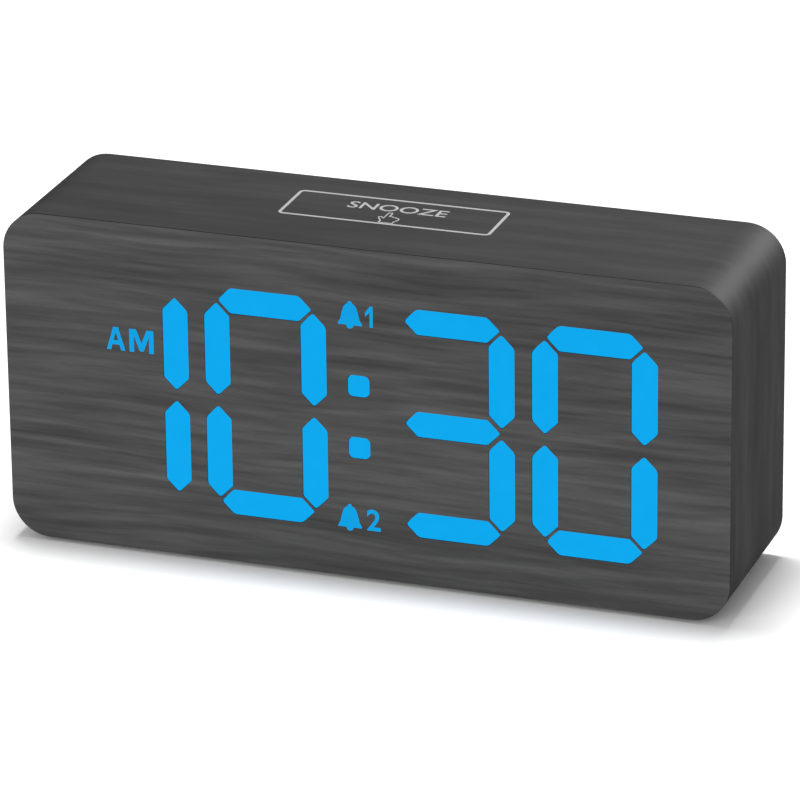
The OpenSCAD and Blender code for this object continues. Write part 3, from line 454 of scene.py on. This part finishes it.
finishes = {name: makePlain(name) for name in plainStuffs}
finishes.update({name: makeMetal(name) for name in metals})
finishes.update({name: makeBoard(name) for name in boards})
finishes.update({name: makeWoodFilm(name) for name in woodFilms})
finishes.update({name: makeLitLens(name) for name in litLenses})
finishes[dryCell["name"]] = makeCellJacket()
print("finishes made:", len(finishes))

# Which finish each CAD node wears
buttonNames = ["set", "alarm_one", "alarm_two", "up", "down"]
wears = {
    "wood-grain film, face": ["front_film"],
    "wood-grain film, wrap": ["wrap_film"],
    "opal acrylic, lit blue": ["lit_lenses"],
    "opal acrylic, unlit": ["dark_lenses"],
    "fibreboard, sealed rim": ["case_sleeve", "front_board"],
    "planed pine": ["corner_posts"],
    "moulded silicone rubber, black": ["rubber_feet"],
    "moulded polystyrene, white": ["reflector_block", "ribbon_headers"],
    "glass-epoxy board, green mask": ["display_board", "main_board"],
    "cast epoxy, phosphor yellow": ["display_leds"],
    "zinc-plated steel": ["display_screws", "board_screws"],
    "black oxide steel": ["cover_screws"],
    "spark-textured ABS, black": ["back_cover", "battery_door"],
    "printed shrink film, grey": ["backup_cells"],
    "nickel-plated spring steel": [
        "battery_springs", "battery_plates", "socket_pin", "socket_nut", "pot_shaft",
    ],
    "moulded epoxy, black": ["control_chip", "switch_bodies"],
    "satin ABS, charcoal": ["button_" + name for name in buttonNames],
    "moulded acetal, ivory": ["plunger_" + name for name in buttonNames],
    "polished ABS, black": ["dimmer_knob"],
    "moulded nylon, black": ["dc_socket", "pot_body"],
    "pressed steel": ["speaker_basket"],
    "pressed paper pulp, black": ["speaker_cone"],
    "sintered ferrite": ["speaker_magnet"],
    "extruded vinyl, red": ["socket_leads", "battery_leads"],
    "extruded vinyl, black": ["speaker_leads"],
    "rolled copper": ["touch_pad"],
    "phosphor bronze": ["touch_leaf"],
    "extruded vinyl, grey": ["ribbon_cable"],
}
for finishName, nodeNames in wears.items():
    for nodeName in nodeNames:
        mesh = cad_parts[nodeName].data
        mesh.materials.clear()
        mesh.materials.append(finishes[finishName])
plainNodes = set(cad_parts) - {name for names in wears.values() for name in names}
print("nodes without a finish:", sorted(plainNodes))


# Prints: flat shapes in millimetres on one of the planes, a little thicker than the real ink

def settle(name, curve, plane, thick, finishName, slotName, fit=None):
    # turns a filled curve into a mesh, fits it into a box (left, low, right, high) and lays it on its plane
    curve.extrude = thick * mm / 2
    source = bpy.data.objects.new(name + "_curve", curve)
    bpy.context.scene.collection.objects.link(source)
    mesh = bpy.data.meshes.new_from_object(source.evaluated_get(bpy.context.evaluated_depsgraph_get()))
    bpy.data.objects.remove(source)
    if fit:
        left, low, right, high = fit
        xs = [v.co.x for v in mesh.vertices]
        ys = [v.co.y for v in mesh.vertices]
        minX, minY = min(xs), min(ys)
        growX = (right - left) * mm / (max(xs) - minX)
        growY = (high - low) * mm / (max(ys) - minY)
        for v, x, y in zip(mesh.vertices, xs, ys):
            v.co.x = left * mm + (x - minX) * growX
            v.co.y = low * mm + (y - minY) * growY
    mesh.transform(plane @ Matrix.Translation((0, 0, thick * mm / 2)))
    mesh.materials.clear()
    mesh.materials.append(finishes[finishName])
    piece = bpy.data.objects.new(name, mesh)
    bpy.context.scene.collection.objects.link(piece)
    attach(piece, "clock")


def filled(loops):
    # closed loops on one plane; a loop inside another is a hole
    curve = bpy.data.curves.new("loops", "CURVE")
    curve.dimensions = "2D"
    curve.fill_mode = "BOTH"
    for loop in loops:
        spline = curve.splines.new("POLY")
        spline.points.add(len(loop) - 1)
        spline.use_cyclic_u = True
        for point, (x, y) in zip(spline.points, loop):
            point.co = (x * mm, y * mm, 0, 1)
    return curve


def lettering(text, weight):
    curve = bpy.data.curves.new("letters", "FONT")
    curve.body = text
    curve.offset = weight
    curve.resolution_u = 4  # smooth enough at this size
    return curve


def arc(x, y, r, start, end, steps=8):
    turns = [math.radians(start + (end - start) * i / steps) for i in range(steps + 1)]
    return [(x + r * math.cos(t), y + r * math.sin(t)) for t in turns]


def roundedBox(left, low, right, high, r):
    return (arc(right - r, high - r, r, 0, 90) + arc(left + r, high - r, r, 90, 180)
            + arc(left + r, low + r, r, 180, 270) + arc(right - r, low + r, r, 270, 360))


def shifted(loop, x, y, scale=1):
    return [(x + scale * px, y + scale * py) for px, py in loop]


def stroke(path, width, closed=False):
    # outline of a line of even width along a path, with mitred bends; a closed path gives a ring of two loops
    sharpest = 0.5  # a tighter bend's mitre grows no further than twice the half width
    left, right = [], []
    for i, point in enumerate(path):
        here = Vector(point)
        before = (here - Vector(path[i - 1])).normalized() if i or closed else None
        following = (i + 1) % len(path)
        after = (Vector(path[following]) - here).normalized() if following or closed else None
        ahead = ((before or after) + (after or before)).normalized()
        side = Vector((-ahead.y, ahead.x))
        reach = width / 2 / max(sharpest, ahead.dot(after or before))
        left.append(tuple(here + side * reach))
        right.append(tuple(here - side * reach))
    return [left, right] if closed else [left + right[::-1]]


# Bell sign: dome, flared rim, knob and clapper, 5 mm wide at its rim
bell = {
    "side": [(0.75, 0), (2.5, 0), (2.5, 0.35), (2.0, 1.2), (1.7, 2.6), (1.35, 3.7), (0.9, 4.3), (0.45, 4.55)],
    "knob": 0.45, "knobHeight": 4.6, "clapper": 0.75,
}
bellSign = (bell["side"] + arc(0, bell["knobHeight"], bell["knob"], 20, 160, 6)
            + [(-x, y) for x, y in bell["side"][::-1]] + arc(0, 0, bell["clapper"], 190, 350))

# Plain block letters, each in a box one unit wide and one high
blockLetters = {
    "A": [[(0, 0), (0.37, 1), (0.63, 1), (1, 0), (0.77, 0), (0.69, 0.24), (0.31, 0.24), (0.23, 0)],
          [(0.37, 0.42), (0.63, 0.42), (0.5, 0.79)]],
    "M": [[(0, 0), (0, 1), (0.28, 1), (0.5, 0.40), (0.72, 1), (1, 1), (1, 0), (0.81, 0), (0.81, 0.72),
           (0.58, 0.06), (0.42, 0.06), (0.19, 0.72), (0.19, 0)]],
    "1": [[(0.58, 0), (0.58, 0.70), (0, 0.50), (0, 0.68), (0.62, 1), (1, 1), (1, 0)]],
}

# Lit marks in the face: morning sign, and two alarm bells with their numbers, as (left, low, right, high)
faceMarks = {
    "letters": {
        "A": (-54.2, 7.8, -50.2, 12.7), "M": (-49.3, 7.8, -44.1, 12.7), "1": (0.9, 18.9, 2.5, 23.3),
    },
    "two": (0.7, -24.6, 3.6, -20.0), "weight": 0.018,
    "bells": {"1": (-2.3, 18.95), "2": (-2.9, -24.4)},  # middle of each bell's foot
    "thick": 0.04,
}
mark = {
    "plane": facePlane, "thick": faceMarks["thick"],
    "finishName": "opal acrylic, lit mark", "slotName": "lit_lens",
}
for letter, fit in faceMarks["letters"].items():
    settle("lit_mark_" + letter, filled(blockLetters[letter]), fit=fit, **mark)
settle("lit_mark_2", lettering("2", faceMarks["weight"]), fit=faceMarks["two"], **mark)
for number, spot in faceMarks["bells"].items():
    settle("lit_bell_" + number, filled([shifted(bellSign, *spot)]), **mark)
print("lit marks laid on the face")

# Snooze zone on the top: outline, word and pressing hand in light ink
snooze = {
    "outline": (-23.0, -4.0, 21.7, 10.3), "corner": 1.3, "line": 0.66,
    "word": (-10.9, 3.4, 9.9, 7.0), "weight": 0.008, "thick": 0.03,
    "hand": (-0.6, 0.08, 0.92),  # place and scale
    "handLine": 0.3,
    "handPath": [
        (-1.3, -3.4), (-1.3, -2.2), (-2.1, -0.9), (-2.3, -0.2), (-1.8, 0.1), (-1.1, -0.7), (-1.0, 2.4),
        (-0.8, 2.9), (-0.3, 2.9), (-0.1, 2.4), (-0.1, 0.6), (0.6, 0.6), (0.8, 0.3), (1.4, 0.3), (1.6, 0.0),
        (2.1, -0.1), (2.4, -0.6), (2.3, -1.5), (1.8, -2.4), (1.8, -3.4),
    ],
}
ink = {
    "plane": topPlane, "thick": snooze["thick"],
    "finishName": "screen ink, light grey", "slotName": "wood_grain_film",
}
edge, line = snooze["outline"], snooze["line"]
inner = (edge[0] + line, edge[1] + line, edge[2] - line, edge[3] - line)
zone = [roundedBox(*edge, snooze["corner"]), roundedBox(*inner, snooze["corner"] - line)]
settle("snooze_outline", filled(zone), **ink)
settle("snooze_word", lettering("SNOOZE", snooze["weight"]), fit=snooze["word"], **ink)
hand = stroke(shifted(snooze["handPath"], *snooze["hand"]), snooze["handLine"], closed=True)
settle("snooze_hand", filled(hand), **ink)
print("snooze zone printed on the top")

# Signs on the back, over the keys, the dimmer and the power socket, as (across, up) seen from behind
backSigns = {
    "row": 24.2, "line": 0.45, "thick": 0.03,
    "dial": 2.0, "dialSteps": 32, "minuteHand": 1.2, "hourHand": 0.9,
    "bellScale": 0.72, "bellLeft": 1.3, "numberHalf": 1.6,
    "numbers": {"1": (1.1, 2.2), "2": (1.0, 3.0)},  # left and right end, from the key's middle
    "arrowHalf": 1.9, "arrowFoot": 1.4, "arrowTip": 1.7,
}


def keyPlace(nodeName):
    low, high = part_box(nodeName)
    return -(low.x + high.x) / 2 / mm, (low.z + high.z) / 2 / mm - midZ / mm


paint = {
    "plane": backPlane, "thick": backSigns["thick"],
    "finishName": "screen ink, light grey", "slotName": "cover_plastic",
}
row, line = backSigns["row"], backSigns["line"]

# setting the time: a clock dial with two hands
x = keyPlace("button_set")[0]
radii = (backSigns["dial"], backSigns["dial"] - line)
dial = [arc(x, row, r, 0, 360, backSigns["dialSteps"])[:-1] for r in radii]
hands = stroke([(x, row + backSigns["minuteHand"]), (x, row), (x + backSigns["hourHand"], row)], line)
settle("sign_set", filled(dial + hands), **paint)

# the two alarms: a bell with its number
low, high = row - backSigns["numberHalf"], row + backSigns["numberHalf"]
for number, nodeName in (("1", "button_alarm_one"), ("2", "button_alarm_two")):
    x = keyPlace(nodeName)[0]
    smallBell = shifted(bellSign, x - backSigns["bellLeft"], low, backSigns["bellScale"])
    settle("sign_bell_" + number, filled([smallBell]), **paint)
    left, right = backSigns["numbers"][number]
    digit = filled(blockLetters["1"]) if number == "1" else lettering("2", faceMarks["weight"])
    settle("sign_number_" + number, digit, fit=(x + left, low, x + right, high), **paint)

# up and down: arrowheads
for nodeName, way in (("button_up", 1), ("button_down", -1)):
    x = keyPlace(nodeName)[0]
    foot, tip = row - backSigns["arrowFoot"] * way, row + backSigns["arrowTip"] * way
    arrow = [(x - backSigns["arrowHalf"], foot), (x + backSigns["arrowHalf"], foot), (x, tip)]
    settle("sign_" + nodeName, filled([arrow]), **paint)

# the dimmer has a wedge that widens with the light
wedge = {"radius": 7.6, "thin": 0.15, "wide": 1.1, "start": 215, "end": -35, "steps": 40}
x, y = keyPlace("dimmer_knob")
outer, inward = [], []
for i in range(wedge["steps"] + 1):
    share = i / wedge["steps"]
    turn = math.radians(wedge["start"] + (wedge["end"] - wedge["start"]) * share)
    reach = wedge["radius"] + wedge["thin"] + (wedge["wide"] - wedge["thin"]) * share
    outer.append((x + reach * math.cos(turn), y + reach * math.sin(turn)))
    inward.append((x + wedge["radius"] * math.cos(turn), y + wedge["radius"] * math.sin(turn)))
settle("sign_dimmer", filled([outer + inward[::-1]]), **paint)

# the socket has the sign for direct current: a bar over three dashes
current = {"width": 4.6, "above": 8.6, "gap": 1.0, "dash": 1.2}
x, y = keyPlace("socket_pin")
barY, dashY = y + current["above"], y + current["above"] - current["gap"]
bars = stroke([(x - current["width"] / 2, barY), (x + current["width"] / 2, barY)], line)
for i in (-1, 0, 1):
    middle = x + i * (current["width"] - current["dash"]) / 2
    bars += stroke([(middle - current["dash"] / 2, dashY), (middle + current["dash"] / 2, dashY)], line)
settle("sign_current", filled(bars), **paint)
print("signs printed on the back")


# Studio, in metres and watts: pale floor, softbox overhead, fill from the front, lamp behind on the right
studio = {
    "floorSize": 30.0, "floorGap": 0.02 * mm,
    "floorTone": "#fbfbfb", "floorRoughness": 0.9, "floorSpecular": 0.1,
    "worldTone": "#ffffff", "worldStrength": 0.5,
}
lamps = {
    "overhead": {"at": (-0.05, 0.085, 1.2), "aim": (0, 0.1, 0), "size": (0.20, 0.36), "watts": 12},
    "front": {"at": (-1.6, -6.24, 2.15), "aim": (0, 0, 0.04), "size": (5.12, 3.2), "watts": 190},
    "corner": {
        "at": (0.33, 0.70, 0.34), "aim": (0.07, 0, 0.06), "size": (0.36, 0.3), "watts": 20.5,
        "flagged": True,  # a flag keeps this lamp's light off the floor
    },
}

floorMesh = bpy.data.meshes.new("floor")
half, floorZ = studio["floorSize"] / 2, -studio["floorGap"]
corners = [(-half, -half, floorZ), (half, -half, floorZ), (half, half, floorZ), (-half, half, floorZ)]
floorMesh.from_pydata(corners, [], [(0, 1, 2, 3)])
floor = bpy.data.objects.new("floor", floorMesh)
bpy.context.scene.collection.objects.link(floor)
# Matte white paper: even and without gloss, and clear from below, so that the feet can be seen
finish, tree = newFinish("matte white paper")
paper = addNode(tree, "BsdfPrincipled", {
    "Base Color": linearColour(studio["floorTone"]), "Roughness": studio["floorRoughness"],
    "Specular IOR Level": studio["floorSpecular"],
})
clear = addNode(tree, "BsdfTransparent")
side = addNode(tree, "NewGeometry")
oneSided = addNode(tree, "MixShader", {}, {
    0: side.outputs["Backfacing"], 1: paper.outputs[0], 2: clear.outputs[0],
})
addNode(tree, "OutputMaterial", {}, {"Surface": oneSided.outputs[0]})
floorMesh.materials.append(finish)

world = bpy.data.worlds.new("studio")
bpy.context.scene.world = world
world.use_nodes = True
world.node_tree.nodes.clear()
sky = addNode(world.node_tree, "Background", {
    "Color": linearColour(studio["worldTone"]), "Strength": studio["worldStrength"],
})
addNode(world.node_tree, "OutputWorld", {}, {"Surface": sky.outputs[0]})

for lampName, lamp in lamps.items():
    light = bpy.data.lights.new(lampName, "AREA")
    light.shape = "RECTANGLE"
    light.size, light.size_y = lamp["size"]
    light.energy = lamp["watts"]
    light.cycles.use_multiple_importance_sampling = False  # with a flagged lamp it can count light twice
    holder = bpy.data.objects.new(lampName, light)
    bpy.context.scene.collection.objects.link(holder)
    holder.location = lamp["at"]
    holder.rotation_euler = (Vector(lamp["aim"]) - Vector(lamp["at"])).to_track_quat("-Z", "Y").to_euler()
    if lamp.get("flagged"):
        shaded = bpy.data.collections.new(lampName + " lamp's flag")
        shaded.objects.link(floor)
        shaded.collection_objects[0].light_linking.link_state = "EXCLUDE"
        holder.light_linking.receiver_collection = shaded

# Camera where the photograph was taken from: degrees, millimetres and pixels
shot = {
    "azimuth": 19.51, "elevation": 21.78, "roll": -0.68, "distance": 1156.9,
    "target": (7.98, -19.0, 40.07), "focalPixels": 5860.8, "imageWidth": 800, "sensor": 36, "near": 50,
}
around, above, tilt = (math.radians(shot[key]) for key in ("azimuth", "elevation", "roll"))
back = Vector((math.sin(around) * math.cos(above), -math.cos(around) * math.cos(above), math.sin(above)))
levelX = Vector((0, 0, 1)).cross(back).normalized()
levelY = back.cross(levelX)
cameraX = math.cos(tilt) * levelX + math.sin(tilt) * levelY
cameraY = math.cos(tilt) * levelY - math.sin(tilt) * levelX
lens = bpy.data.cameras.new("camera")
lens.sensor_width = shot["sensor"]
lens.lens = shot["focalPixels"] * shot["sensor"] / shot["imageWidth"]
lens.clip_start = shot["near"] * mm
camera = bpy.data.objects.new("camera", lens)
bpy.context.scene.collection.objects.link(camera)
stand = Vector(shot["target"]) * mm + back * shot["distance"] * mm
camera.matrix_world = Matrix.Translation(stand) @ Matrix((cameraX, cameraY, back)).transposed().to_4x4()
bpy.context.scene.camera = camera
bpy.context.scene.view_settings.view_transform = "Standard"
print("studio and camera set")
